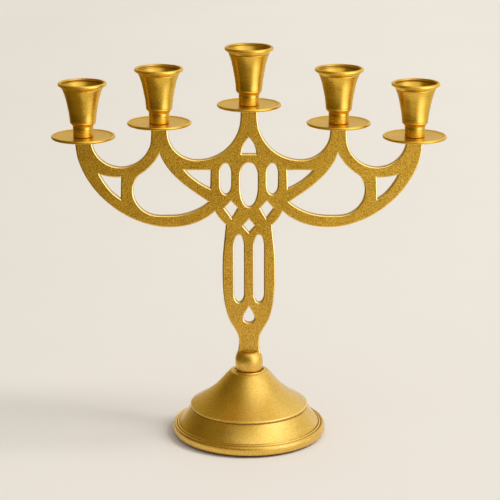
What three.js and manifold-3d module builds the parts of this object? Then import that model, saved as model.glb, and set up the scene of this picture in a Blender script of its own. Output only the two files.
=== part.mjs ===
// A five-branch candelabra: an openwork cast brass frame on a spun brass foot, with a drip pan and a
// screw-on candle cup at the top of each arm. Millimetres, +Z up, the frame's face looks along -Y, and
// the origin is the centre of the foot's underside.
import * as THREE from "three";
import { mergeVertices } from "three/addons/utils/BufferGeometryUtils.js";
import Module from "manifold-3d";

const wasm = await Module();
wasm.setup();

// ---- driving dimensions ----
const GAP = 0.3; // clearance between pieces that touch
const PLATE_THICKNESS = 6;
const ARM_HALF_WIDTH = 7.2;
const ARMS = [
  // name, x of the arm, height of its drip pan's middle plane, height of its cup
  { name: "centre", x: 0, panZ: 298.3, cupHeight: 50.6 },
  { name: "left_inner", x: -77.3, panZ: 282.5, cupHeight: 48 },
  { name: "right_inner", x: 77.3, panZ: 282.5, cupHeight: 48 },
  { name: "left_outer", x: -143.1, panZ: 270.6, cupHeight: 47.4 },
  { name: "right_outer", x: 143.1, panZ: 270.6, cupHeight: 47.4 },
];
const PAN_RADIUS = 27.7;
const PAN_HALF_HEIGHT = 1.3;
const STUD_RADIUS = 2; // M4
const STUD_BELOW = 12; // depth of the stud in the arm
const STUD_ABOVE = 9.6; // reach of the stud into the cup's neck
const CUP_FLOOR = 13; // candle seat above the pan's middle plane
const CUP_FLOOR_RADIUS = 9;
const CUP_NECK_RADIUS = 8.8;
const LIP_RADIUS = 21.1;
const LIP_DRAWN_AT = 46.3;

const BASE_TOP = 57.6; // floor of the recess that the knob stands in
const BASE_RADIUS = 67.9;
const SHEET = 1.2; // thickness of the spun brass sheet
const KNOB_TOP = 76.6;
const SPIGOT_RADIUS = 6;
const SPIGOT_BOTTOM = 59;
const FOOT_Z = 71.4; // lower end of the plate's foot inside the knob's slot
const FOOT_HALF_WIDTH = 10.3;
const TIE_ROD_RADIUS = 3; // M6
const PAD_THICKNESS = 1.4;
const PAD_RADIUS = 64.4;
const BALLAST_TOP = 12;

const CURVE_STEPS = 8;
const AROUND_CUP = 24;
const AROUND_PAN = 36;
const AROUND_BASE = 48;
const AROUND_KNOB = 32;
const AROUND_ROD = 16;

// ---- materials ----
const metal = (color, roughness) => new THREE.MeshStandardMaterial({ color, roughness, metalness: 1 });
const CAST_BRASS = metal(0xc8922f, 0.55);
const TURNED_BRASS = metal(0xd6a53c, 0.28);
const SATIN_BRASS = metal(0xcf9c3c, 0.4);
const STEEL = metal(0x9a9c9e, 0.45);
const IRON = metal(0x4a4846, 0.75);
const FELT = new THREE.MeshStandardMaterial({ color: 0x2d2a26, roughness: 0.95, metalness: 0 });

// ---- solids ----
function closed(geometry) {
  geometry.deleteAttribute("normal");
  geometry.deleteAttribute("uv");
  return mergeVertices(geometry, 1e-4);
}

function solid(geometry) {
  const merged = closed(geometry);
  return new wasm.Manifold(
    new wasm.Mesh({
      numProp: 3,
      vertProperties: new Float32Array(merged.attributes.position.array),
      triVerts: new Uint32Array(merged.index.array),
    }),
  );
}

function geometryOf(manifold) {
  const mesh = manifold.getMesh();
  const geometry = new THREE.BufferGeometry();
  geometry.setAttribute("position", new THREE.BufferAttribute(mesh.vertProperties, 3));
  geometry.setIndex(new THREE.BufferAttribute(mesh.triVerts, 1));
  geometry.computeVertexNormals();
  return geometry;
}

// A solid of revolution about Z from a closed profile of [radius, height], which starts and ends on the
// axis or on its own first point.
function turned(profile, steps) {
  const points = profile.map(([r, z]) => new THREE.Vector2(r, z));
  return new THREE.LatheGeometry(points, steps).rotateX(Math.PI / 2);
}

function rod(radius, bottom, top, steps = AROUND_ROD) {
  return turned([[0, bottom], [radius, bottom], [radius, top], [0, top]], steps);
}

function washer(inner, outer, bottom, top, steps = AROUND_ROD) {
  const profile = [[inner, bottom], [outer, bottom], [outer, top], [inner, top], [inner, bottom]];
  return turned(profile, steps);
}

// ---- the openwork frame, drawn in the XZ plane ----
function outerOutline() {
  const [centre, , inner, , outer] = ARMS;
  const armTop = (arm) => arm.panZ - PAN_HALF_HEIGHT - GAP;
  const halfOutline = (side) => {
    const path = new THREE.Path();
    const p = (x, z) => [side * x, z];
    path.moveTo(...p(0, armTop(centre)));
    path.lineTo(...p(ARM_HALF_WIDTH, armTop(centre)));
    path.lineTo(...p(7.4, 287.8));
    // the bay between the centre and the inner arm
    path.bezierCurveTo(...p(7.4, 267), ...p(24.2, 250.2), ...p(45, 250.2));
    path.bezierCurveTo(...p(58.9, 250.2), ...p(70.1, 261.4), ...p(70.1, 275.3));
    path.lineTo(...p(inner.x - ARM_HALF_WIDTH, armTop(inner)));
    path.lineTo(...p(inner.x + ARM_HALF_WIDTH, armTop(inner)));
    path.lineTo(...p(84.5, 270.6));
    // the bay between the inner and the outer arm
    path.bezierCurveTo(...p(84.5, 255.8), ...p(96.5, 243.8), ...p(111, 243.8));
    path.bezierCurveTo(...p(124.9, 243.8), ...p(135.9, 254.8), ...p(135.9, 268.6));
    path.lineTo(...p(outer.x - ARM_HALF_WIDTH, armTop(outer)));
    path.lineTo(...p(outer.x + ARM_HALF_WIDTH, armTop(outer)));
    path.lineTo(...p(150.3, 266.7));
    // the great lower curve, ending in a cusp beside the stem
    path.bezierCurveTo(...p(150.2, 228.4), ...p(110, 190.1), ...p(70, 190));
    path.bezierCurveTo(...p(53.5, 190), ...p(39.4, 195.2), ...p(29.4, 204.4));
    path.quadraticCurveTo(...p(26.6, 197.8), ...p(20.4, 192.4));
    // the stem: a long oval body, a narrow neck and a flared foot
    path.bezierCurveTo(...p(20.4, 185), ...p(23.3, 172), ...p(23.3, 150));
    path.bezierCurveTo(...p(23.3, 132), ...p(22, 114), ...p(16.5, 103.5));
    path.bezierCurveTo(...p(12.6, 96.2), ...p(8.9, 92.5), ...p(8.9, 85));
    path.quadraticCurveTo(...p(8.9, 78.6), ...p(FOOT_HALF_WIDTH, 74.6));
    path.lineTo(...p(FOOT_HALF_WIDTH, FOOT_Z));
    return path.getPoints(CURVE_STEPS);
  };
  // down the left side and back up the right, which is counter-clockwise
  return new THREE.Shape([...halfOutline(-1), ...halfOutline(1).slice(1).reverse()]);
}

// The points of a window, mirrored when side is -1.
function windowPoints(draw, side = 1) {
  const path = new THREE.Path();
  draw(path, (x, z) => [side * x, z]);
  return path.getPoints(CURVE_STEPS);
}

// An upright slot with half-elliptical ends.
function slot(x, halfWidth, top, topCentre, bottomCentre, bottom) {
  const arcs = 2 * CURVE_STEPS;
  const end = (centre, height, from) =>
    Array.from({ length: arcs + 1 }, (_, i) => {
      const a = from + (Math.PI * i) / arcs;
      return new THREE.Vector2(x + halfWidth * Math.cos(a), centre + height * Math.sin(a));
    });
  return [
    ...end(topCentre, top - topCentre, 0),
    ...end(bottomCentre, bottomCentre - bottom, Math.PI),
  ];
}

const polygon = (...corners) => (path, p) => {
  path.moveTo(...p(...corners[0]));
  corners.slice(1).forEach((corner) => path.lineTo(...p(...corner)));
};

// The large leaf-shaped window between the bays and the lower curve.
function leaf(path, p) {
  path.moveTo(...p(77.3, 255.8));
  path.bezierCurveTo(...p(80.6, 248.8), ...p(86.2, 242.4), ...p(94.2, 237.4));
  path.bezierCurveTo(...p(98.4, 233.9), ...p(100.7, 228.8), ...p(100.7, 223));
  path.bezierCurveTo(...p(100.7, 210.6), ...p(90.6, 200.5), ...p(78.2, 200.5));
  path.lineTo(...p(69, 200.5));
  path.bezierCurveTo(...p(55.6, 200.5), ...p(43.4, 205.2), ...p(35, 212.9));
  path.bezierCurveTo(...p(51, 223.6), ...p(70, 236), ...p(77.3, 255.8));
}

function innerTriangle(path, p) {
  path.moveTo(...p(33.3, 241.2));
  path.lineTo(...p(55.4, 241.2));
  path.quadraticCurveTo(...p(47.5, 231.2), ...p(33.8, 225));
}

function outerTriangle(path, p) {
  path.moveTo(...p(110.9, 234.9));
  path.quadraticCurveTo(...p(119, 234.2), ...p(129.4, 237.2));
  path.quadraticCurveTo(...p(122.5, 222.5), ...p(111.7, 215.7));
}

function pointedArch(path, p) {
  path.moveTo(...p(0, 269.9));
  path.quadraticCurveTo(...p(5.8, 264.5), ...p(6.3, 255.6));
  path.lineTo(...p(-6.3, 255.6));
  path.quadraticCurveTo(...p(-5.8, 264.5), ...p(0, 269.9));
}

function teardrop(path, p) {
  path.moveTo(...p(0, 117.6));
  path.bezierCurveTo(...p(1.6, 114.6), ...p(4.6, 111.5), ...p(4.7, 107.6));
  path.bezierCurveTo(...p(4.8, 104.5), ...p(3.2, 102.7), ...p(0, 102.7));
  path.bezierCurveTo(...p(-3.2, 102.7), ...p(-4.8, 104.5), ...p(-4.7, 107.6));
  path.bezierCurveTo(...p(-4.6, 111.5), ...p(-1.6, 114.6), ...p(0, 117.6));
}

const kite = polygon([15.6, 213.6], [21.2, 207.2], [15, 198.4], [9.9, 207.2]);
const diamond = polygon([0, 197.4], [5.2, 191.2], [0, 185.4], [-5.2, 191.2]);

function windows() {
  const pairs = [leaf, innerTriangle, outerTriangle, kite];
  return [
    ...pairs.flatMap((draw) => [windowPoints(draw, 1), windowPoints(draw, -1)]),
    ...[pointedArch, diamond, teardrop].map((draw) => windowPoints(draw)),
    slot(0, 7.6, 247.8, 236, 226, 208.3),
    ...[-20.3, 20.3].map((x) => slot(x, 4.8, 247.2, 238, 229, 219.6)),
    ...[-8.8, 8.8].map((x) => slot(x, 4.3, 183.3, 172, 130, 121.3)),
  ];
}

function makeFrame() {
  const shape = outerOutline();
  shape.holes = windows().map((points) => new THREE.Path(points));
  const plate = new THREE.ExtrudeGeometry(shape, { depth: PLATE_THICKNESS, bevelEnabled: false })
    .rotateX(Math.PI / 2)
    .translate(0, PLATE_THICKNESS / 2, 0);
  const spigot = rod(SPIGOT_RADIUS, SPIGOT_BOTTOM, FOOT_Z + 0.5);
  let frame = solid(plate).add(solid(spigot));
  frame = frame.subtract(solid(rod(TIE_ROD_RADIUS + GAP, SPIGOT_BOTTOM - 1, FOOT_Z - 1.5)));
  for (const arm of ARMS) {
    const bore = rod(STUD_RADIUS + GAP, arm.panZ - STUD_BELOW - GAP, arm.panZ);
    frame = frame.subtract(solid(bore.translate(arm.x, 0, 0)));
  }
  return geometryOf(frame);
}

// ---- the pieces on each arm, about their own axis, with the pan's middle plane at z = 0 ----
function drippingPan() {
  const hub = STUD_RADIUS + GAP;
  return turned(
    [
      [hub, -PAN_HALF_HEIGHT],
      [PAN_RADIUS - 1.6, -PAN_HALF_HEIGHT],
      [PAN_RADIUS - 0.4, -0.7],
      [PAN_RADIUS, 0.3],
      [PAN_RADIUS - 0.5, PAN_HALF_HEIGHT],
      [PAN_RADIUS - 1.5, PAN_HALF_HEIGHT - 0.1],
      [PAN_RADIUS - 3.2, 0],
      [hub, 0],
      [hub, -PAN_HALF_HEIGHT],
    ],
    AROUND_PAN,
  );
}

// The cup's neck stands on the pan; its body widens by a gentle curve from a shoulder and flares out
// under a rolled lip. The socket inside has a flat floor for the candle.
function candleCup(height) {
  const lip = height - 1.1; // height of the lip's widest point
  const bore = STUD_RADIUS + GAP;
  // heights on the body are stated for a lip at LIP_DRAWN_AT and stretch with the cup
  const at = (z) => CUP_FLOOR + ((z - CUP_FLOOR) * (lip - CUP_FLOOR)) / (LIP_DRAWN_AT - CUP_FLOOR);
  return turned(
    [
      [0, STUD_ABOVE + 0.6],
      [bore, STUD_ABOVE + 0.6],
      [bore, GAP],
      [CUP_NECK_RADIUS, GAP],
      [CUP_NECK_RADIUS, 9.6],
      [10.9, 12],
      [11.4, at(14)],
      [12, at(20)],
      [13.8, at(30)],
      [15.2, at(36)],
      [16.6, at(40)],
      [18.4, at(43)],
      [20.4, at(45)],
      [LIP_RADIUS, lip],
      [20.3, height],
      [18.9, height - 0.6],
      [17.2, at(43.2)],
      [14.9, at(38)],
      [12.6, at(31)],
      [10.4, at(20)],
      [CUP_FLOOR_RADIUS, CUP_FLOOR],
      [0, CUP_FLOOR],
    ],
    AROUND_CUP,
  );
}

// ---- the foot ----
// The spun shell: a recess for the knob, a raised lip round it, a hollow-curved dome down to a fine
// step, a flared skirt and a thick rounded rim.
function baseShell() {
  const hole = TIE_ROD_RADIUS + GAP;
  const inside = BASE_TOP - SHEET;
  return turned(
    [
      [hole, BASE_TOP],
      [12.3, BASE_TOP],
      [12.8, 58.8],
      [13.9, 59],
      [16.6, 57.4],
      [20.5, 53.6],
      [24.2, 49.6],
      [28.6, 44.6],
      [33.8, 39.8],
      [40, 35.1],
      [47, 30.5],
      [51.4, 27.5],
      [52.2, 26.4],
      [52, 25.4],
      [54.2, 21.6],
      [57.6, 16.6],
      [61, 12],
      [62.6, 10],
      [66.4, 9.9],
      [67.6, 8],
      [BASE_RADIUS, 4.6],
      [67.4, 1.6],
      [66.2, 0.6],
      [64.9, 0.6],
      [64.9, 4],
      [56.2, 15.4],
      [50.4, 25.2],
      [45.8, 29.3],
      [33, 38.6],
      [23.2, 48.8],
      [14, inside],
      [hole, inside],
      [hole, BASE_TOP],
    ].reverse(),
    AROUND_BASE,
  );
}

// The barrel-shaped knob: the frame's spigot goes down its bore and the plate's foot sits in its slot.
function knob() {
  const bottom = BASE_TOP + GAP;
  const bore = SPIGOT_RADIUS + GAP;
  const barrel = solid(
    turned(
      [
        [bore, bottom],
        [11.2, bottom],
        [11.9, 60.6],
        [12.3, 65.4],
        [12.3, 67.6],
        [11.8, 70.6],
        [11.1, 73],
        [9.9, 75.2],
        [8.2, 76.2],
        [bore, KNOB_TOP],
        [bore, bottom],
      ],
      AROUND_KNOB,
    ),
  );
  const width = 2 * (FOOT_HALF_WIDTH + GAP);
  const height = KNOB_TOP - FOOT_Z + 2;
  const slotCut = new THREE.BoxGeometry(width, PLATE_THICKNESS + 2 * GAP, height);
  slotCut.translate(0, 0, FOOT_Z - GAP + height / 2);
  return geometryOf(barrel.subtract(solid(slotCut)));
}

function ballast() {
  const bottom = PAD_THICKNESS + GAP;
  const profile = [
    [9, bottom],
    [63.4, bottom],
    [63.4, 3.6],
    [56, BALLAST_TOP],
    [9, BALLAST_TOP],
    [9, bottom],
  ];
  return turned(profile, AROUND_BASE);
}

function hexNut(bottom, top) {
  const nut = solid(turned([[0, bottom], [5.77, bottom], [5.77, top], [0, top]], 6));
  return geometryOf(nut.subtract(solid(rod(TIE_ROD_RADIUS + GAP, bottom - 1, top + 1))));
}

// ---- the assembly ----
const menorah = new THREE.Group();

function place(parent, name, geometry, material) {
  const mesh = new THREE.Mesh(geometry, material);
  mesh.name = name;
  parent.add(mesh);
  return mesh;
}

place(menorah, "frame", makeFrame(), CAST_BRASS);
place(menorah, "stem_knob", knob(), CAST_BRASS);
place(menorah, "base_shell", baseShell(), SATIN_BRASS);
place(menorah, "base_ballast", ballast(), IRON);
place(menorah, "base_felt_pad", rod(PAD_RADIUS, 0, PAD_THICKNESS, AROUND_BASE), FELT);

const under = BASE_TOP - SHEET - GAP; // the clamping stack hangs under the shell's top
const rodHole = TIE_ROD_RADIUS + GAP;
place(menorah, "base_flat_washer", washer(rodHole, 9, under - 1.6, under), STEEL);
place(menorah, "base_lock_washer", washer(rodHole, 5.9, under - 3.5, under - 1.9), STEEL);
place(menorah, "base_nut", hexNut(under - 8.8, under - 3.8), STEEL);
place(menorah, "tie_rod", rod(TIE_ROD_RADIUS, under - 12, FOOT_Z - 1.8), STEEL);

for (const arm of ARMS) {
  const branch = new THREE.Group();
  branch.position.set(arm.x, 0, arm.panZ);
  menorah.add(branch);
  place(branch, `arm_stud_${arm.name}`, rod(STUD_RADIUS, -STUD_BELOW, STUD_ABOVE), STEEL);
  place(branch, `drip_pan_${arm.name}`, drippingPan(), SATIN_BRASS);
  place(branch, `candle_cup_${arm.name}`, candleCup(arm.cupHeight), TURNED_BRASS);
}

export default menorah;
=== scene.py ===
import math

import bmesh
import bpy
from mathutils import Matrix, Vector


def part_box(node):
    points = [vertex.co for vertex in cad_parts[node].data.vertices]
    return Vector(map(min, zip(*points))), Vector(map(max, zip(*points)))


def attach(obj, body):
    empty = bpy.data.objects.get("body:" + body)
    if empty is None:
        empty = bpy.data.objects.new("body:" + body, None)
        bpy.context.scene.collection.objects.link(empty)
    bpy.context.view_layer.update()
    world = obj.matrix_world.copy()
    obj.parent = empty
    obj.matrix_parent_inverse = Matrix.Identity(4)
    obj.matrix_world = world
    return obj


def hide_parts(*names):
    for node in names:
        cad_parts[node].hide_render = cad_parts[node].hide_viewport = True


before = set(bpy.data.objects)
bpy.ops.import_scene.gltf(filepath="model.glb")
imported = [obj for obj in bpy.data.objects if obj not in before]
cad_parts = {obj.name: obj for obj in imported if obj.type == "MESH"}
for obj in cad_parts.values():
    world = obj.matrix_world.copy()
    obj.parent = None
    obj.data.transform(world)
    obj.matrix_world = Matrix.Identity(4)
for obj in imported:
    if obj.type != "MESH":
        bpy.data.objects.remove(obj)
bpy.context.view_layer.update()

MM = 0.001
scene = bpy.context.scene

# ---- what is read from the frame ----
ARMS = ["centre", "left_inner", "right_inner", "left_outer", "right_outer"]
SPIGOT_TOP = 0.1  # metres up: above this, the frame node is only its flat plate


def arm_axis(arm):
    """The arm's axis and the middle plane of its drip pan, in mm."""
    low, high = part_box("drip_pan_" + arm)
    middle = (low + high) / 2
    return Vector((middle.x, 0, middle.z)) / MM


def plate_front():
    """Where the plate's front face lies along Y, in metres."""
    return min(v.co.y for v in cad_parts["frame"].data.vertices if v.co.z > SPIGOT_TOP)


# ---- materials ----
def node(tree, kind, links=None, **values):
    """A shader node with its settings; links maps an input's name or number to a socket or a value."""
    made = tree.nodes.new(kind)
    for key, value in values.items():
        setattr(made, key, value)
    for key, source in (links or {}).items():
        if isinstance(source, bpy.types.NodeSocket):
            tree.links.new(source, made.inputs[key])
        else:
            made.inputs[key].default_value = source
    return made


def ramp(tree, factor, stops, interpolation="LINEAR"):
    """The colour at factor on a colour ramp, whose stops are (place, colour)."""
    made = node(tree, "ShaderNodeValToRGB", {0: factor})
    band = made.color_ramp
    band.interpolation = interpolation
    band.elements[0].position, band.elements[0].color = stops[0][0], (*stops[0][1], 1)
    band.elements[1].position, band.elements[1].color = stops[-1][0], (*stops[-1][1], 1)
    for place, colour in stops[1:-1]:
        band.elements.new(place).color = (*colour, 1)
    return made.outputs["Color"]


def math_node(tree, operation, a, b=0.0, c=0.0):
    return node(tree, "ShaderNodeMath", {0: a, 1: b, 2: c}, operation=operation).outputs[0]


def times(tree, a, b):
    return math_node(tree, "MULTIPLY", a, b)


def map_range(tree, value, low, high, to_low, to_high, smooth=False):
    made = node(tree, "ShaderNodeMapRange", {"Value": value, "From Min": low, "From Max": high,
                                             "To Min": to_low, "To Max": to_high})
    if smooth:
        made.interpolation_type = "SMOOTHSTEP"
    return made.outputs["Result"]


def noise(tree, vector, scale, detail=3.0, roughness=0.55):
    return node(tree, "ShaderNodeTexNoise", {"Vector": vector, "Scale": scale, "Detail": detail,
                                             "Roughness": roughness}).outputs["Fac"]


def separate(tree, vector):
    """The X, Y and Z of a vector."""
    axes = node(tree, "ShaderNodeSeparateXYZ", {0: vector})
    return [axes.outputs[k] for k in "XYZ"]


def blank(name):
    """A new material with its node tree and its Principled shader."""
    material = bpy.data.materials.new(name)
    material.use_nodes = True
    tree = material.node_tree
    shader = tree.nodes["Principled BSDF"]
    return material, tree, shader


def bumped(tree, shader, height, distance):
    bump = node(tree, "ShaderNodeBump", {"Height": height, "Distance": distance})
    tree.links.new(bump.outputs[0], shader.inputs["Normal"])


EDGE_WEAR_AND_HIGHLIGHT_GOLD = (0.98, 0.70, 0.2)  # the paler gold on the plate's edge slope: rubbed wear and a painted highlight
SPECULAR_TINT = (0.97, 0.86, 0.6, 1)
COAT_ROUGHNESS = 0.25
GRAIN_SPREAD = 0.17  # how far the grain noise strays from its middle
FINE_GRAIN = 2.3  # how many times finer the second grain is
FINE_SHARE = 0.4  # its share of the whole
PATCHES = 38.0  # broad patches of tone, per metre
RINGS = 1100.0  # lathe lines, per metre
RING_SLOPE = 0.83  # lines go by height plus this share of radius, so that flat faces get them too
# how far behind the plate's face, in mm, the face ends and the edge's slope begins, and the slope ends
# and the side begins
FACE_END, SLOPE_START = 0.01, 0.12
SLOPE_END, SIDE_START = 0.5, 1.0
SLOPE_BUMP, SLOPE_ROUGHNESS, SIDE_PAINTED_SHADE = 0.15, 0.6, 0.5  # as shares of the face's own; the side's tone is painted shade
WARM, WARMER = 1.35, 2.0  # a darker tone dims green by the first power and blue by the second


def painted_line_tone(tree, radius, z, groove):
    """The tone of a painted line round a turned piece, painted shade under 1 and a painted highlight over 1,
    and 1 away from it.
    """
    groove_radius, groove_z, half_width, tone = groove
    out = math_node(tree, "SUBTRACT", radius, groove_radius * MM)
    up = math_node(tree, "SUBTRACT", z, groove_z * MM)
    away = math_node(tree, "SQRT", math_node(tree, "MULTIPLY_ADD", out, out, times(tree, up, up)))
    return map_range(tree, away, 0.3 * half_width * MM, half_width * MM, tone, 1, True)


def hollow_shade(tree, x, y, radius, tone):
    """Painted shade: the given tone on what faces the axis, inside a hollow, and 1 on what faces outward."""
    facing_x, facing_y, _ = separate(tree, node(tree, "ShaderNodeTexCoord").outputs["Normal"])
    outward = math_node(tree, "MULTIPLY_ADD", facing_x, x, times(tree, facing_y, y))
    outward = math_node(tree, "DIVIDE", outward, radius)
    return map_range(tree, outward, -0.5, -0.15, tone, 1, True)


def brass(name, colours, roughness, grain_mm, grain_depth, ring_depth=0.0, ring_tone=0.0, patch_tone=0.08,
          grain_contrast=1.0, edge_y=None, shade_and_highlight_lines=(), painted_hollow_shade=1.0, coat=0.8):
    """Gold-lacquered brass. A grain of grain_mm breaks up its colour, from the first of colours to the last,
    and its surface. Lathe lines run round pieces turned about Z, and broad patches vary tone and gloss.
    edge_y is a flat plate's half thickness: the slope at its edge is rubbed smoother and painted paler, as
    wear and a painted highlight, and its side is painted darker as shade. Painted lines run round turned
    pieces, given as (radius, height, half width, tone) with the first three in mm: a tone under 1 is painted
    shade, and above 1 a painted highlight. painted_hollow_shade paints shade on what faces the axis."""
    material, tree, shader = blank(name)
    place = node(tree, "ShaderNodeTexCoord").outputs["Object"]
    x, y, z = separate(tree, place)

    fine = noise(tree, place, 1 / (grain_mm * MM), 2.0, 0.6)
    finer = noise(tree, place, FINE_GRAIN / (grain_mm * MM), 2.0, 0.6)
    grain = math_node(tree, "MULTIPLY_ADD", finer, FINE_SHARE, times(tree, fine, 1 - FINE_SHARE))
    spread = GRAIN_SPREAD / grain_contrast
    stops = [(k / (len(colours) - 1), colour) for k, colour in enumerate(colours)]
    base = ramp(tree, map_range(tree, grain, 0.5 - spread, 0.5 + spread, 0, 1), stops)
    bump_height = times(tree, grain, grain_depth * MM)

    patch = noise(tree, place, PATCHES, 3.0, 0.6)
    tone = map_range(tree, patch, 0.3, 0.7, 1 - patch_tone, 1 + patch_tone)
    rough = map_range(tree, patch, 0.3, 0.7, roughness * 0.9, roughness * 1.12)
    rough = times(tree, rough, map_range(tree, fine, 0.3, 0.7, 0.93, 1.07))

    if edge_y:
        depth = math_node(tree, "ABSOLUTE", y)
        flat = map_range(tree, depth, (edge_y - SLOPE_START) * MM, (edge_y - FACE_END) * MM, 0, 1, True)
        slope = map_range(tree, depth, (edge_y - SIDE_START) * MM, (edge_y - SLOPE_END) * MM, 0, 1, True)
        bump_height = times(tree, bump_height, map_range(tree, flat, 0, 1, SLOPE_BUMP, 1))
        rough = times(tree, rough, map_range(tree, flat, 0, 1, SLOPE_ROUGHNESS, 1))
        # the edge slope is painted paler, as rubbed wear and a painted highlight
        worn_and_highlit = times(tree, math_node(tree, "SUBTRACT", 1.0, flat), slope)
        base = node(tree, "ShaderNodeMix", {0: worn_and_highlit, 6: base, 7: (*EDGE_WEAR_AND_HIGHLIGHT_GOLD, 1)},
                    data_type="RGBA").outputs[2]
        # painted shade: the plate's side, inside its openings, is painted darker
        tone = times(tree, tone, map_range(tree, slope, 0, 1, SIDE_PAINTED_SHADE, 1))

    radius = math_node(tree, "SQRT", math_node(tree, "MULTIPLY_ADD", x, x, times(tree, y, y)))
    # painted shade and painted highlights along turned lines
    for groove in shade_and_highlight_lines:
        tone = times(tree, tone, painted_line_tone(tree, radius, z, groove))
    # painted shade on what faces the axis, inside hollows
    if painted_hollow_shade < 1:
        tone = times(tree, tone, hollow_shade(tree, x, y, radius, painted_hollow_shade))
    if ring_depth or ring_tone:
        along = math_node(tree, "MULTIPLY_ADD", radius, RING_SLOPE, z)
        lines = node(tree, "ShaderNodeTexNoise", {"W": along, "Scale": RINGS, "Detail": 4.0,
                                                  "Roughness": 0.7}, noise_dimensions="1D").outputs["Fac"]
        bump_height = math_node(tree, "MULTIPLY_ADD", lines, ring_depth * MM, bump_height)
        tone = times(tree, tone, map_range(tree, lines, 0.25, 0.75, 1 - ring_tone, 1 + ring_tone))
        rough = times(tree, rough, map_range(tree, lines, 0.25, 0.75, 0.85, 1.15))

    # a darker tone is also a redder one, as gold looks in shade lit by gold: this tints the painted shade,
    # and the darker patches and lines too
    shade = node(tree, "ShaderNodeCombineXYZ", {0: tone, 1: math_node(tree, "POWER", tone, WARM),
                                                2: math_node(tree, "POWER", tone, WARMER)}).outputs[0]
    base = node(tree, "ShaderNodeVectorMath", {0: base, 1: shade}, operation="MULTIPLY").outputs[0]
    tree.links.new(base, shader.inputs["Base Color"])
    tree.links.new(rough, shader.inputs["Roughness"])
    bumped(tree, shader, bump_height, 1.0)
    shader.inputs["Metallic"].default_value = 1.0
    shader.inputs["Specular Tint"].default_value = SPECULAR_TINT
    shader.inputs["Coat Weight"].default_value = coat
    shader.inputs["Coat Roughness"].default_value = COAT_ROUGHNESS
    return material


def steel_material():
    material, tree, shader = blank("zinc_steel")
    place = node(tree, "ShaderNodeTexCoord").outputs["Object"]
    cloud = noise(tree, place, 500.0, 4.0, 0.6)
    tree.links.new(ramp(tree, cloud, [(0.3, (0.42, 0.43, 0.44)), (0.7, (0.6, 0.6, 0.58))]),
                   shader.inputs["Base Color"])
    tree.links.new(map_range(tree, cloud, 0.3, 0.7, 0.28, 0.5), shader.inputs["Roughness"])
    bumped(tree, shader, cloud, 0.02 * MM)
    shader.inputs["Metallic"].default_value = 1.0
    return material


def iron_material():
    material, tree, shader = blank("ballast_iron")
    place = node(tree, "ShaderNodeTexCoord").outputs["Object"]
    cloud = noise(tree, place, 700.0, 5.0, 0.65)
    stain = noise(tree, place, 60.0, 3.0, 0.6)
    colour = ramp(tree, stain, [(0.35, (0.03, 0.028, 0.027)), (0.6, (0.07, 0.062, 0.056)),
                                (0.75, (0.12, 0.06, 0.035))])
    tree.links.new(colour, shader.inputs["Base Color"])
    tree.links.new(map_range(tree, cloud, 0.3, 0.7, 0.6, 0.9), shader.inputs["Roughness"])
    bumped(tree, shader, cloud, 0.25 * MM)
    shader.inputs["Metallic"].default_value = 0.6
    return material


def felt_material():
    material, tree, shader = blank("black_felt")
    place = node(tree, "ShaderNodeTexCoord").outputs["Object"]
    fibre = noise(tree, place, 2600.0, 5.0, 0.75)
    lint = noise(tree, place, 160.0, 3.0, 0.6)
    colour = ramp(tree, math_node(tree, "MULTIPLY_ADD", fibre, 0.6, times(tree, lint, 0.4)),
                  [(0.35, (0.008, 0.007, 0.007)), (0.65, (0.035, 0.03, 0.028))])
    tree.links.new(colour, shader.inputs["Base Color"])
    shader.inputs["Roughness"].default_value = 0.95
    bumped(tree, shader, fibre, 0.3 * MM)
    shader.inputs["Sheen Weight"].default_value = 0.3
    return material


# each gold from the grain's pits to its peaks
CAST_GOLD = [(0.38, 0.162, 0.005), (0.81, 0.44, 0.024), (1.0, 0.735, 0.13)]
SATIN_GOLD = [(0.62, 0.34, 0.020), (0.82, 0.505, 0.065), (1.0, 0.70, 0.16)]
TURNED_GOLD = [(0.78, 0.47, 0.035), (0.82, 0.51, 0.052), (0.86, 0.55, 0.07)]
KNOB_PAINTED_SHADE = [(7.4, 76.4, 1.7, 0.5)]  # painted shade where the plate stands in the knob
CUP_PAINTED_SHADE_AND_HIGHLIGHT = [(17.9, 44.9, 0.9, 0.55), (20.6, 47.2, 3.4, 1.16)]  # painted shade inside the lip, and a painted highlight on the lip
PAN_PAINTED_SHADE_AND_HIGHLIGHT = [(24.9, 0.9, 0.5, 0.6), (27.7, -0.15, 0.45, 0.75), (26.6, 1.3, 0.8, 1.3)]  # painted shade round its rim, and a painted highlight on its crest
FOOT_PAINTED_SHADE_AND_HIGHLIGHT = [(12.7, 58.3, 0.7, 0.3), (13.9, 58.9, 0.7, 1.35),  # painted shade in the gap round the knob, and a painted highlight on the ring
                (51.9, 25.4, 0.9, 0.35), (51.9, 27.5, 0.8, 1.35),  # painted shade in the crease, and a painted highlight on the bead over it
                (62.3, 9.75, 0.7, 0.35), (63.4, 10.4, 0.6, 1.3), (64.5, 9.1, 0.7, 0.35),  # the rim's lines: painted shade either side of a painted highlight
                (66.9, 1.4, 2.2, 0.5)]  # painted shade under the rim
CAST = brass("cast_brass", CAST_GOLD, 0.40, 1.05, 0.34, patch_tone=0.06, grain_contrast=1.3,
             edge_y=-plate_front() / MM)
KNOB = brass("knob_brass", SATIN_GOLD, 0.36, 0.8, 0.12, 0.004, 0.05, shade_and_highlight_lines=KNOB_PAINTED_SHADE)
CUP = brass("turned_brass", TURNED_GOLD, 0.30, 0.9, 0.006, 0.0028, 0.1, patch_tone=0.1, shade_and_highlight_lines=CUP_PAINTED_SHADE_AND_HIGHLIGHT,
            painted_hollow_shade=0.8, coat=0.4)
PAN = brass("spun_brass", TURNED_GOLD, 0.30, 0.8, 0.03, 0.003, 0.05, shade_and_highlight_lines=PAN_PAINTED_SHADE_AND_HIGHLIGHT, coat=0.4)
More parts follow.
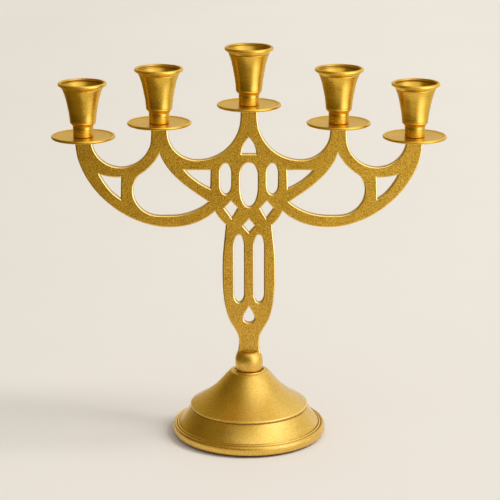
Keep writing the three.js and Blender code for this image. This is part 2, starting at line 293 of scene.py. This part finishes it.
FOOT = brass("satin_brass", SATIN_GOLD, 0.33, 0.8, 0.12, 0.002, 0.02, patch_tone=0.05, grain_contrast=1.2,
             shade_and_highlight_lines=FOOT_PAINTED_SHADE_AND_HIGHLIGHT, coat=1.0)
STEEL = steel_material()
IRON = iron_material()
FELT = felt_material()


# ---- mesh helpers ----
SHARP = 38.0  # degrees between faces past which an edge is drawn sharp


def finished(mesh, name, material, sharp_degrees):
    """An object of the mesh, smooth but for edges sharper than sharp_degrees."""
    mesh.materials.clear()
    mesh.materials.append(material)
    mesh.shade_smooth()
    mesh.set_sharp_from_angle(angle=math.radians(sharp_degrees))
    piece = bpy.data.objects.new(name, mesh)
    scene.collection.objects.link(piece)
    return piece


def place_piece(piece, body, nodes, at=(0, 0, 0)):
    """Hangs a piece on its body's empty, hides the CAD nodes it replaces, and puts it at a place in mm."""
    piece.location = Vector(at) * MM
    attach(piece, body)
    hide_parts(*nodes)
    return piece


def spline(points, steps):
    """A smooth line through three or more points, as a list of (r, z)."""
    points = [Vector(p) for p in points]
    lengths = [(b - a).length for a, b in zip(points, points[1:])]
    chords = [(b - a).normalized() for a, b in zip(points, points[1:])]
    tangents = []
    for i in range(1, len(points) - 1):
        before, after = lengths[i - 1], lengths[i]
        tangents.append((chords[i - 1] * after + chords[i] * before).normalized())
    first = 2 * chords[0] * chords[0].dot(tangents[0]) - tangents[0]
    last = 2 * chords[-1] * chords[-1].dot(tangents[-1]) - tangents[-1]
    tangents = [first, *tangents, last]
    line = [points[0]]
    for i, length in enumerate(lengths):
        line += hermite(points[i], points[i + 1], tangents[i] * length, tangents[i + 1] * length, steps)
    return [tuple(p) for p in line]


def hermite(a, b, ta, tb, steps):
    """Points after a and up to b on the cubic with those end tangents."""
    made = []
    for k in range(1, steps + 1):
        t = k / steps
        t2, t3 = t * t, t * t * t
        made.append(a * (2 * t3 - 3 * t2 + 1) + ta * (t3 - 2 * t2 + t) + b * (3 * t2 - 2 * t3)
                    + tb * (t3 - t2))
    return made


def arc(centre, radius, start, end, steps):
    """Points on an arc, with angles in degrees from the outward direction."""
    made = []
    for k in range(steps + 1):
        a = math.radians(start + (end - start) * k / steps)
        made.append((centre[0] + radius * math.cos(a), centre[1] + radius * math.sin(a)))
    return made


def joined(*runs):
    """Runs of profile points in a row, with points that repeat left out."""
    made = []
    for run in runs:
        for p in run:
            if not made or math.dist(p, made[-1]) > 1e-4:
                made.append(tuple(p))
    return made


def lathe(name, profile, steps, material, sharp_degrees=SHARP):
    """A solid of revolution about Z. The profile is in mm, and closes on itself or on the axis."""
    mesh = bpy.data.meshes.new(name)
    bm = bmesh.new()
    if math.dist(profile[0], profile[-1]) < 1e-4:
        profile = profile[:-1]
    rings = []
    for r, z in profile:
        if r < 1e-6:
            rings.append([bm.verts.new((0, 0, z * MM))])
            continue
        turn = [2 * math.pi * k / steps for k in range(steps)]
        rings.append([bm.verts.new((r * MM * math.cos(a), r * MM * math.sin(a), z * MM)) for a in turn])
    pairs = list(zip(rings, rings[1:]))
    if len(rings[0]) > 1:
        pairs.append((rings[-1], rings[0]))
    for low, high in pairs:
        if len(low) == 1 and len(high) == 1:
            continue
        for k in range(steps):
            n = (k + 1) % steps
            if len(low) == 1:
                bm.faces.new((low[0], high[n], high[k]))
            elif len(high) == 1:
                bm.faces.new((low[k], low[n], high[0]))
            else:
                bm.faces.new((low[k], low[n], high[n], high[k]))
    bmesh.ops.recalc_face_normals(bm, faces=bm.faces)
    bm.to_mesh(mesh)
    bm.free()
    return finished(mesh, name, material, sharp_degrees)


ROD_STEPS = 28
ROWS_PER_TURN = 7
THREAD_ROOT, THREAD_FLANK = 0.12, 0.76  # the flat root's and the flank's shares of half a pitch
THREAD_FADE = 0.8  # in pitches
THREAD_SHARP = 60.0


def threaded_rod(name, radius, pitch, depth, bottom, top, material):
    """A right-handed screw thread about Z, faded out at both ends into a chamfer."""
    mesh = bpy.data.meshes.new(name)
    bm = bmesh.new()
    rows = int((top - bottom) / pitch * ROWS_PER_TURN)
    rings = []
    for i in range(rows + 1):
        z = bottom + (top - bottom) * i / rows
        fade = min(1.0, min(z - bottom, top - z) / (THREAD_FADE * pitch))
        ring = []
        for k in range(ROD_STEPS):
            phase = (z / pitch - k / ROD_STEPS) % 1.0
            crest = 1 - abs(2 * phase - 1)
            crest = min(max((crest - THREAD_ROOT) / THREAD_FLANK, 0), 1)
            r = radius - depth + depth * crest * fade
            angle = 2 * math.pi * k / ROD_STEPS
            ring.append(bm.verts.new((r * MM * math.cos(angle), r * MM * math.sin(angle), z * MM)))
        rings.append(ring)
    for low, high in zip(rings, rings[1:]):
        for k in range(ROD_STEPS):
            n = (k + 1) % ROD_STEPS
            bm.faces.new((low[k], low[n], high[n], high[k]))
    bm.faces.new(rings[0])
    bm.faces.new(rings[-1])
    bmesh.ops.recalc_face_normals(bm, faces=bm.faces)
    bm.to_mesh(mesh)
    bm.free()
    return finished(mesh, name, material, THREAD_SHARP)


# ---- the openwork frame ----
def face_loops():
    """The closed outlines of the plate's front face, read from the CAD node as (x, z) in mm."""
    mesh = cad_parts["frame"].data
    front_mm = plate_front() / MM
    points = [(round(v.co.x / MM, 3), round(v.co.y / MM, 3), round(v.co.z / MM, 3)) for v in mesh.vertices]
    edges = {}
    for polygon in mesh.polygons:
        corners = [points[i] for i in polygon.vertices]
        if all(abs(c[1] - front_mm) < 0.01 for c in corners):
            for a, b in zip(corners, corners[1:] + corners[:1]):
                edges[(a, b)] = True
    outline = {a: b for a, b in edges if (b, a) not in edges}
    loops = []
    while outline:
        start = next(iter(outline))
        loop, at = [], start
        while at in outline:
            loop.append(Vector((at[0], at[2])))
            at = outline.pop(at)
        loops.append(loop)
    return loops


CORNER_DEGREES = 30.0
LONG_SIDE = 2.5  # a side this many times longer than its neighbour is straight
SHORTEST_SIDE = 0.02
STEP_LENGTH = 0.6
STRAIGHT = 0.99999  # cosine of the turn under which a side is drawn in one step


def smooth_loop(loop):
    """The outline with its faceted curves made smooth, while its corners and straight sides stay."""
    loop = [p for i, p in enumerate(loop) if (p - loop[i - 1]).length > SHORTEST_SIDE]
    count = len(loop)
    chords = [(loop[(i + 1) % count] - loop[i]) for i in range(count)]
    lengths = [c.length for c in chords]
    chords = [c.normalized() for c in chords]
    tangents = []
    for i in range(count):
        before, after = chords[i - 1], chords[i]
        if math.degrees(before.angle(after)) > CORNER_DEGREES:
            tangents.append(None)
        elif lengths[i] > LONG_SIDE * lengths[i - 1]:
            tangents.append(after)
        elif lengths[i - 1] > LONG_SIDE * lengths[i]:
            tangents.append(before)
        else:
            tangents.append((before * lengths[i] + after * lengths[i - 1]).normalized())
    made = []
    for i in range(count):
        a, b = loop[i], loop[(i + 1) % count]
        ta, tb = tangents[i], tangents[(i + 1) % count]
        chord = chords[i]
        if ta is None and tb is None:
            ta = tb = chord
        elif ta is None:
            ta = 2 * chord * chord.dot(tb) - tb
        elif tb is None:
            tb = 2 * chord * chord.dot(ta) - ta
        steps = max(2, min(5, round(lengths[i] / STEP_LENGTH)))
        if abs(chord.dot(ta)) > STRAIGHT and abs(chord.dot(tb)) > STRAIGHT:
            steps = 1
        made += hermite(a, b, ta * lengths[i], tb * lengths[i], steps)
    return made


EDGE_WIDTH = 1.1
PLATE_SHARP = 17.0
FACING = 0.9999  # how squarely a face of the plate looks forward or back to be shaded flat
SPIGOT_STEPS = 64
SPIGOT_RADIUS, SPIGOT_ROUND = 6.0, 0.6
SPIGOT_STUB = 0.7  # how far the CAD spigot's end reaches up the plate's outline
SPIGOT_OVERLAP = 0.4  # how far the spigot runs up into the plate
# the plate's edge from its face to its side: a shallow worn slope, then a small round (inset, depth)
EDGE_SHAPE = [(0.0, 1.15), (0.02, 0.86), (0.08, 0.66), (0.2, 0.47), (0.45, 0.33), (0.75, 0.178), (1.1, 0.0)]


def edge_depth(inset):
    """How far the plate's edge lies behind its face, where it is inset from the outline, in mm."""
    for (a, depth_a), (b, depth_b) in zip(EDGE_SHAPE, EDGE_SHAPE[1:]):
        if inset <= b:
            return depth_a + (depth_b - depth_a) * (inset - a) / (b - a)
    return 0.0


def lowest(loops):
    return min(min(p.y for p in loop) for loop in loops)


def rounded_plate(half, loops):
    """The plate's mesh from its outlines, with a worn slope along each edge."""
    curve = bpy.data.curves.new("frame_outline", "CURVE")
    curve.dimensions = "2D"
    curve.fill_mode = "BOTH"
    foot = lowest(loops)
    for loop in loops:
        # the spigot's end shows on the plate's foot, inside the knob: it isn't part of the outline
        loop = [p for p in loop if not (p.y < foot + SPIGOT_STUB and abs(p.x) < SPIGOT_RADIUS)]
        line = smooth_loop(loop)
        path = curve.splines.new("POLY")
        path.points.add(len(line) - 1)
        for point, p in zip(path.points, line):
            point.co = (p.x * MM, p.y * MM, 0, 1)
        path.use_cyclic_u = True
    curve.extrude = (half - EDGE_WIDTH) * MM
    curve.bevel_depth = EDGE_WIDTH * MM
    curve.bevel_resolution = 5
    curve.offset = -EDGE_WIDTH * MM
    drawn = bpy.data.objects.new("frame_outline", curve)
    scene.collection.objects.link(drawn)
    bpy.context.view_layer.update()
    mesh = bpy.data.meshes.new_from_object(drawn.evaluated_get(bpy.context.evaluated_depsgraph_get()))
    bpy.data.objects.remove(drawn)
    bpy.data.curves.remove(curve)
    # the curve's bevel is a quarter circle: its points are moved to the slope's depth at the same inset
    for v in mesh.vertices:
        past = (abs(v.co.z) / MM - (half - EDGE_WIDTH)) / EDGE_WIDTH
        if past > -0.001:
            inset = EDGE_WIDTH * (1 - math.sqrt(max(0.0, 1 - min(past, 1.0) ** 2)))
            v.co.z = math.copysign((half - edge_depth(inset)) * MM, v.co.z)
    mesh.transform(Matrix.Rotation(math.pi / 2, 4, "X"))
    bm = bmesh.new()
    bm.from_mesh(mesh)
    bmesh.ops.remove_doubles(bm, verts=bm.verts, dist=0.005 * MM)
    bmesh.ops.dissolve_degenerate(bm, edges=bm.edges, dist=0.002 * MM)
    bmesh.ops.recalc_face_normals(bm, faces=bm.faces)
    bm.to_mesh(mesh)
    bm.free()
    return mesh


def casting():
    loops = face_loops()
    mesh = rounded_plate(-plate_front() / MM, loops)
    piece = finished(mesh, "frame_casting", CAST, PLATE_SHARP)
    for polygon in mesh.polygons:
        if abs(polygon.normal.y) > FACING:
            polygon.use_smooth = False
    place_piece(piece, "stand", ["frame"])

    bottom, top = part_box("frame")[0].z / MM, lowest(loops) + SPIGOT_OVERLAP
    spigot = lathe("frame_spigot", joined(
        [(0, top), (SPIGOT_RADIUS, top), (SPIGOT_RADIUS, bottom + SPIGOT_ROUND)],
        arc((SPIGOT_RADIUS - SPIGOT_ROUND, bottom + SPIGOT_ROUND), SPIGOT_ROUND, 0, -90, 4),
        [(0, bottom)]), SPIGOT_STEPS, CAST)
    place_piece(spigot, "stand", [])


# ---- the foot, the knob and what clamps them ----
FOOT_STEPS, KNOB_STEPS, PAD_STEPS, BALLAST_STEPS, WASHER_STEPS = 224, 160, 192, 96, 64
TURNED_STEPS = 144  # round a pan or a cup
FOOT_SHARP, KNOB_SHARP, PAN_SHARP, CUP_SHARP = 30.0, 45.0, 40.0, 34.0
BORE = 3.3  # the radius of the tie rod's holes
BREAK = 0.25  # the washers' broken edges
PAD_ROUND = 0.5
TIE_ROD = (3.0, 1.0, 0.55)  # radius, pitch and depth of the M6 thread
STUD = (2.0, 0.7, 0.4)  # and of the M4 one


def foot_shell():
    outside = joined(
        [(BORE, 57.6), (12.3, 57.6)],
        [(12.6, 57.9), (12.85, 58.5)],
        arc((13.55, 58.35), 0.7, 160, 60, 6),
        [(13.95, 58.8), (14.2, 58.45)],
        spline([(14.4, 58.4), (15.6, 58.35), (16.9, 57.75), (18.1, 56.6), (20.7, 53.7), (24.2, 49.6),
                (28.6, 44.6), (33.8, 39.8), (40, 35.1), (46, 31.2), (50.4, 28.4)], 7),
        arc((51.3, 26.85), 0.95, 55, -25, 8),
        [(52.02, 26.1), (51.9, 25.6)],
        spline([(51.95, 25.2), (53.0, 23.4), (54.6, 20.9), (57.6, 16.5), (60.1, 13.1), (61.9, 10.95)], 7),
        [(62.0, 10.3), (62.3, 9.75), (62.6, 9.8)],
        arc((63.35, 9.75), 0.75, 160, 20, 8),
        [(64.25, 9.3), (64.5, 9.1)],
        spline([(64.8, 9.5), (65.5, 9.85), (66.4, 9.7), (67.2, 8.9), (67.7, 7.6), (67.9, 5.9),
                (67.9, 4.6), (67.75, 3.3), (67.35, 2.3), (66.7, 1.6), (65.9, 1.3)], 4),
    )
    inside = joined(
        [(64.9, 1.3)],
        [(64.9, 4)],
        spline([(64.9, 4), (61, 9.2), (56.2, 15.4), (52.6, 21.2), (50.4, 25.2)], 4),
        spline([(50.4, 25.2), (45.8, 29.3), (39, 33.7), (33, 38.2), (27.6, 43.4), (23.2, 48.4), (18.4, 53.2),
                (14, 56.4)], 4),
        [(BORE, 56.4), (BORE, 57.6)],
    )
    shell = lathe("foot_spinning", joined(outside, inside), FOOT_STEPS, FOOT, FOOT_SHARP)
    place_piece(shell, "stand", ["base_shell"])


def heights(name):
    """The lowest and highest Z of a CAD node, in mm."""
    low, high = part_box(name)
    return low.z / MM, high.z / MM


def knob():
    bottom, top = heights("stem_knob")
    socket = 6.3  # the radius of the hole for the plate's spigot, under a closed top
    turned = lathe("knob_turning", joined(
        [(socket, bottom), (11.0, bottom)],
        spline([(11.0, bottom), (11.45, bottom + 0.35), (11.7, 59.4), (11.95, 61.2), (12.2, 63.8),
                (12.32, 66.2), (12.25, 68.2), (11.95, 70.2), (11.45, 72), (10.75, 73.6), (9.8, 75),
                (8.5, 76), (7, top - 0.05)], 5),
        [(0, top), (0, top - 1.5), (socket, top - 1.5), (socket, bottom)]), KNOB_STEPS, KNOB,
        KNOB_SHARP)
    place_piece(turned, "stand", ["stem_knob"])


def felt_pad():
    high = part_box("base_felt_pad")[1]
    radius, thick = high.x / MM, high.z / MM
    pad = lathe("felt_disc", joined(
        [(0, 0), (radius - PAD_ROUND, 0)],
        arc((radius - PAD_ROUND, PAD_ROUND), PAD_ROUND, -90, 0, 5),
        arc((radius - PAD_ROUND, thick - PAD_ROUND), PAD_ROUND, 0, 90, 5), [(0, thick)]), PAD_STEPS, FELT)
    place_piece(pad, "stand", ["base_felt_pad"])


def ballast():
    bottom, top = heights("base_ballast")
    weight = lathe("ballast_casting", joined(
        [(9.5, bottom), (62.9, bottom)], arc((62.9, bottom + 0.5), 0.5, -90, 0, 4), [(63.4, 3.4)],
        spline([(63.4, 3.4), (63.1, 3.9), (56.8, 11.3), (56, top)], 4), [(10, top)],
        arc((9.8, top - 0.8), 0.8, 90, 180, 4), [(9, bottom + 0.5), (9.5, bottom)]), BALLAST_STEPS, IRON)
    place_piece(weight, "stand", ["base_ballast"])


def clamp():
    for washer in ("flat_washer", "lock_washer"):
        name = "base_" + washer
        bottom, top = heights(name)
        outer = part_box(name)[1].x / MM
        ring = lathe(washer, [(BORE, bottom), (outer - BREAK, bottom), (outer, bottom + BREAK),
                              (outer, top - BREAK), (outer - BREAK, top), (BORE, top)], WASHER_STEPS, STEEL)
        place_piece(ring, "stand", [name])
    rod = threaded_rod("tie_rod_thread", *TIE_ROD, *heights("tie_rod"), STEEL)
    place_piece(rod, "stand", ["tie_rod"])
    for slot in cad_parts["base_nut"].material_slots:
        slot.material = STEEL


# ---- what stands on each arm ----
def pan_profile():
    """The drip pan in mm about its middle plane."""
    return joined(
        [(2.3, 0), (2.3, -1.3), (25.9, -1.3)],
        arc((26.4, 0), 1.3, -90, 90, 14),
        spline([(26.4, 1.3), (25.6, 1.12), (24.9, 0.85), (23.8, 0.6), (20.5, 0.3), (15, 0.06), (11, 0)], 5),
        [(2.3, 0)],
    )


CUP_FLOOR = 13.0
CUP_HEIGHT = 47.4  # the height that the profile's points are drawn for
LIP_DROP = 1.1  # a point drawn this far below the top is as far below it on a cup of any height
LIP_RADIUS, LIP_BEAD = 19.55, 1.5  # the rolled lip's distance from the axis, and its own radius
NECK, NECK_GROOVES = 8.8, (3.7, 6.3)  # the neck's radius, and the heights of its two grooves


def cup_profile(height):
    """The candle cup in mm above its pan's middle plane, for a cup of that height."""
    stretch = (height - LIP_DROP - CUP_FLOOR) / (CUP_HEIGHT - LIP_DROP - CUP_FLOOR)

    def up(*points):
        return [(r, CUP_FLOOR + (z - CUP_FLOOR) * stretch) for r, z in points]

    neck = []
    for groove in NECK_GROOVES:
        neck += [(NECK - inset, groove + z) for inset, z in
                 ((0, -0.5), (0.2, -0.3), (0.38, 0), (0.2, 0.3), (0, 0.5))]
    return joined(
        [(0, 10.2), (2.3, 10.2), (2.3, 0.3), (8.4, 0.3)],
        arc((8.4, 0.7), 0.4, -90, 0, 4),
        neck,
        spline([(NECK, 9.0), (8.9, 9.7), (9.4, 10.5), (10.2, 11.3), (10.9, 12)], 5),
        arc((10.75, 12.6), 0.55, -50, 40, 6),
        [(11.1, 13.25), (11.1, 13.5), (11.3, 13.8)],
        spline(up((11.35, 14), (11.95, 20), (12.8, 25), (13.8, 30), (14.95, 35), (16.0, 38.4), (16.9, 40.7),
                  (17.3, 41.6)), 7),
        up((17.35, 41.85), (17.3, 42.1), (17.55, 42.35)),
        spline(up((17.7, 42.5), (18.4, 43.3), (19.1, 44.0)), 4),
        up((19.12, 44.2), (19.25, 44.45)),
        arc((LIP_RADIUS, height - LIP_BEAD), LIP_BEAD, -95, 200, 26),
        up((17.9, 45.1)),
        spline(up((17.75, 44.8), (17.3, 43.8), (16.7, 42.4), (16.0, 40.7), (14.9, 38),
                  (13.6, 34.3), (12.6, 31), (11.3, 25), (10.4, 20), (9.6, 16)), 4),
        arc((8.2, CUP_FLOOR + 1.3), 1.3, 0, -90, 6),
        [(0, CUP_FLOOR)],
    )


def arm_pieces(arm):
    x, _, pan_z = arm_axis(arm)
    axis = (x, 0, pan_z)
    pan = lathe(f"pan_spinning_{arm}", pan_profile(), TURNED_STEPS, PAN, PAN_SHARP)
    place_piece(pan, "pan_" + arm, ["drip_pan_" + arm], axis)
    top = heights("candle_cup_" + arm)[1]
    cup = lathe(f"cup_turning_{arm}", cup_profile(top - pan_z), TURNED_STEPS, CUP, CUP_SHARP)
    place_piece(cup, "cup_" + arm, ["candle_cup_" + arm], axis)
    bottom, top = heights("arm_stud_" + arm)
    stud = threaded_rod(f"stud_thread_{arm}", *STUD, bottom - pan_z, top - pan_z, STEEL)
    place_piece(stud, "stand", ["arm_stud_" + arm], axis)


casting()
foot_shell()
knob()
felt_pad()
ballast()
clamp()
for arm in ARMS:
    arm_pieces(arm)


# ---- the room ----
FLOOR_HALF = 14.0
FLOOR_COLOURS = [(0.3, (0.800, 0.756, 0.700)), (0.7, (0.812, 0.768, 0.712))]
PAINTED_LIGHT_LEFT, PAINTED_LIGHT_RIGHT, PAINTED_LIGHT_HALF = 0.955, 1.03, 0.4  # painted light: the floor is painted paler to the right, over 0.8 m, as if lit more from that side


def rectangle(name, wide, tall):
    """A flat mesh with those half sizes along X and Y."""
    mesh = bpy.data.meshes.new(name)
    mesh.from_pydata([(-wide, -tall, 0), (wide, -tall, 0), (wide, tall, 0), (-wide, tall, 0)], [],
                     [(0, 1, 2, 3)])
    return mesh


def floor():
    mesh = rectangle("floor", FLOOR_HALF, FLOOR_HALF)
    material, tree, shader = blank("cream_floor")
    place = node(tree, "ShaderNodeTexCoord").outputs["Object"]
    cloud = noise(tree, place, 3.0, 2.0)
    colour = ramp(tree, cloud, FLOOR_COLOURS)
    across, _, _ = separate(tree, place)
    # painted light: the floor's colour rises to the right
    painted_light = map_range(tree, across, -PAINTED_LIGHT_HALF, PAINTED_LIGHT_HALF, PAINTED_LIGHT_LEFT, PAINTED_LIGHT_RIGHT)
    tint = node(tree, "ShaderNodeCombineXYZ", {0: painted_light, 1: painted_light, 2: painted_light}).outputs[0]
    painted_light_colour = node(tree, "ShaderNodeVectorMath", {0: colour, 1: tint}, operation="MULTIPLY").outputs[0]
    tree.links.new(painted_light_colour, shader.inputs["Base Color"])
    shader.inputs["Roughness"].default_value = 0.75
    shader.inputs["Specular IOR Level"].default_value = 0.15
    mesh.materials.append(material)
    made = bpy.data.objects.new("floor", mesh)
    scene.collection.objects.link(made)


# What the metal mirrors: a softbox on the right, open backdrop behind, dark cards to the front left.
# Each list gives brightness by compass direction, in degrees from the front (-Y), positive to the right
# (+X): above the floor, on the cards near the object, and on the cards further out.
BRIGHTEST = 2.0
AROUND_ABOVE = [(-180, 0.72), (-150, 0.46), (-122, 0.22), (-104, 0.12), (-82, 0.22), (-40, 0.26), (-14, 0.25),
                (6, 0.38), (24, 0.75), (37, 1.5), (52, 1.9), (70, 1.7), (88, 1.1), (108, 0.78),
                (145, 0.92), (180, 0.72)]
AROUND_NEAR = [(-180, 0.7), (-150, 0.42), (-122, 0.24), (-104, 0.14), (-82, 0.24), (-40, 0.28), (-8, 0.26),
               (9, 0.33), (26, 0.78), (42, 1.85), (55, 1.9), (70, 1.1), (87, 0.7), (120, 0.7),
               (150, 0.85), (180, 0.7)]
AROUND_FAR = [(-180, 0.6), (-145, 0.35), (-115, 0.1), (-60, 0.06), (-28, 0.07), (-10, 0.16), (10, 0.24),
              (26, 1.0), (40, 2.0), (62, 2.0), (82, 1.0), (105, 0.7), (145, 0.8), (180, 0.6)]


def tone_round(tree, direction, stops):
    """The brightness that stops give for a direction, as a share of BRIGHTEST."""
    x, y, _ = separate(tree, direction)
    turn = math_node(tree, "ARCTAN2", x, times(tree, y, -1.0))
    place = map_range(tree, turn, -math.pi, math.pi, 0, 1)
    places = [((degrees + 180) / 360, (value / BRIGHTEST,) * 3) for degrees, value in stops]
    return ramp(tree, place, places, "EASE")


def warmed(tree, tone):
    """The light of a tone: what is dark in the room is warm, what is bright is white."""
    tint = ramp(tree, tone, [(0, (1.0, 0.66, 0.06)), (0.2, (1.0, 0.80, 0.26)), (0.42, (1.0, 0.97, 0.85)),
                             (0.7, (1.0, 1.0, 1.0)), (0.95, (1.0, 1.06, 1.6))])
    return node(tree, "ShaderNodeVectorMath", {0: tint, 1: tone}, operation="MULTIPLY").outputs[0]


DAYLIGHT = (1.0, 0.97, 0.9, 1)
DAYLIGHT_STRENGTH = 0.545
OVERHEAD_LEFT, OVERHEAD_RIGHT = 0.28, 1.25


def studio_world():
    """An even light for everything but gloss, which sees the softbox and the cards."""
    world = bpy.data.worlds.new("studio")
    world.use_nodes = True
    tree = world.node_tree
    even = tree.nodes["Background"]
    even.inputs["Color"].default_value = DAYLIGHT
    even.inputs["Strength"].default_value = DAYLIGHT_STRENGTH
    direction = node(tree, "ShaderNodeTexCoord").outputs["Generated"]
    x, _, z = separate(tree, direction)
    overhead = map_range(tree, x, -0.3, 0.3, OVERHEAD_LEFT / BRIGHTEST, OVERHEAD_RIGHT / BRIGHTEST, True)
    high = map_range(tree, z, 0.6, 0.92, 0, 1, True)
    level = tone_round(tree, direction, AROUND_ABOVE)
    tone = node(tree, "ShaderNodeMix", {0: high, "A": level, "B": overhead}, data_type="FLOAT").outputs[0]
    shaped = node(tree, "ShaderNodeBackground", {"Color": warmed(tree, tone), "Strength": BRIGHTEST})
    glossy = node(tree, "ShaderNodeLightPath").outputs["Is Glossy Ray"]
    mix = node(tree, "ShaderNodeMixShader", {0: glossy, 1: even.outputs[0], 2: shaped.outputs[0]})
    tree.links.new(mix.outputs[0], tree.nodes["World Output"].inputs["Surface"])
    scene.world = world


def faded_glow(tree, shown, glow):
    """Makes a card's material glow where shown is 1, and clear where it is 0."""
    clear = node(tree, "ShaderNodeBsdfTransparent")
    mix = node(tree, "ShaderNodeMixShader", {0: shown, 1: clear.outputs[0], 2: glow.outputs[0]})
    tree.links.new(mix.outputs[0], tree.nodes["Material Output"].inputs["Surface"])


CARD_STEPS, CARD_INNER, CARD_OUTER, CARD_HEIGHT = 72, 0.15, 9.0, 0.002
NEAR_END, FAR_START = 0.55, 0.95  # metres out: the near cards' tones change to the far ones'
FADE_START, FADE_END = 0.35, 0.58  # metres out: the cards fade in
LEFT_REACH = 0.55  # the share of that distance at which they fade in on the left


def low_cards():
    """Cards laid round the object beyond the near floor, seen only by gloss: dark to the front left,
    bright to the front right."""
    name = "low_cards"
    mesh = bpy.data.meshes.new(name)
    turn = [2 * math.pi * k / CARD_STEPS for k in range(CARD_STEPS)]
    ring = [(r * math.sin(a), -r * math.cos(a), CARD_HEIGHT) for r in (CARD_INNER, CARD_OUTER) for a in turn]
    after = [(k + 1) % CARD_STEPS for k in range(CARD_STEPS)]
    mesh.from_pydata(ring, [], [(k, n, CARD_STEPS + n, CARD_STEPS + k) for k, n in enumerate(after)])
    material, tree, _ = blank(name)
    place = node(tree, "ShaderNodeTexCoord").outputs["Object"]
    near = tone_round(tree, place, AROUND_NEAR)
    far = tone_round(tree, place, AROUND_FAR)
    distance = node(tree, "ShaderNodeVectorMath", {0: place}, operation="LENGTH").outputs["Value"]
    away = map_range(tree, distance, NEAR_END, FAR_START, 0, 1, True)
    tone = node(tree, "ShaderNodeMix", {0: away, "A": near, "B": far}, data_type="FLOAT").outputs[0]
    glow = node(tree, "ShaderNodeEmission", {"Color": warmed(tree, tone), "Strength": BRIGHTEST})
    side = math_node(tree, "DIVIDE", separate(tree, place)[0], distance)
    reach = map_range(tree, side, -0.8, -0.1, LEFT_REACH, 1, True)
    out = math_node(tree, "DIVIDE", distance, reach)
    faded_glow(tree, map_range(tree, out, FADE_START, FADE_END, 0, 1, True), glow)
    mesh.materials.append(material)
    mirrored_only(mesh)


def mirrored_only(mesh, at=(0, 0, 0)):
    """A card of the room that only gloss shows."""
    made = bpy.data.objects.new(mesh.name, mesh)
    made.location = at
    scene.collection.objects.link(made)
    made.visible_camera = False
    made.visible_diffuse = False
    made.visible_shadow = False
    return made


STRIP_WIDE, STRIP_TALL = 0.55, 0.1
STRIP_PLACE, STRIP_TILT = (0.08, -0.5, 0.66), 50
STRIP_STRENGTH = 1.9


def strip_card():
    """A long softbox above the front, which the plate's upward edges mirror."""
    mesh = rectangle("strip_card", STRIP_WIDE, STRIP_TALL)
    material, tree, _ = blank("strip_card")
    x, y, _ = separate(tree, node(tree, "ShaderNodeTexCoord").outputs["Object"])
    fade = map_range(tree, math_node(tree, "ABSOLUTE", y), 0.4 * STRIP_TALL, STRIP_TALL, 1, 0, True)
    side = map_range(tree, x, -0.5, -0.1, 0.2, 1, True)
    faded_glow(tree, times(tree, fade, side), node(tree, "ShaderNodeEmission", {"Strength": STRIP_STRENGTH}))
    mesh.materials.append(material)
    mirrored_only(mesh, STRIP_PLACE).rotation_euler = (math.radians(STRIP_TILT), 0, 0)


SUN_FROM, SUN_COLOUR = (0.9, -0.1, 1.0), (0.985, 0.99, 1.0)
SUN_STRENGTH, SUN_SOFTNESS = 2.17, 26


def sun_light(direction, energy, softness_degrees, colour):
    """A soft sun from that direction, which the metal's gloss doesn't show."""
    light = bpy.data.lights.new("sun", "SUN")
    light.energy = energy
    light.angle = math.radians(softness_degrees)
    light.color = colour
    made = bpy.data.objects.new("sun", light)
    made.rotation_euler = Vector(direction).to_track_quat("Z", "Y").to_euler()
    scene.collection.objects.link(made)
    made.visible_glossy = False


floor()
low_cards()
strip_card()
sun_light(SUN_FROM, SUN_STRENGTH, SUN_SOFTNESS, SUN_COLOUR)
studio_world()

# ---- the camera ----
LENS_MM, SENSOR_MM = 140.4, 36
CAMERA_PLACE = (0, -1.6493, 0.6247)
CAMERA_DOWN = 15.45  # degrees below level
CAMERA_SHIFT = 0.002
camera_data = bpy.data.cameras.new("camera")
camera_data.sensor_width = SENSOR_MM
camera_data.lens = LENS_MM
camera_data.shift_x = CAMERA_SHIFT
camera_data.clip_end = 60
camera = bpy.data.objects.new("camera", camera_data)
camera.location = CAMERA_PLACE
camera.rotation_euler = (math.radians(90 - CAMERA_DOWN), 0, 0)
scene.collection.objects.link(camera)
scene.camera = camera
scene.view_settings.view_transform = "Standard"
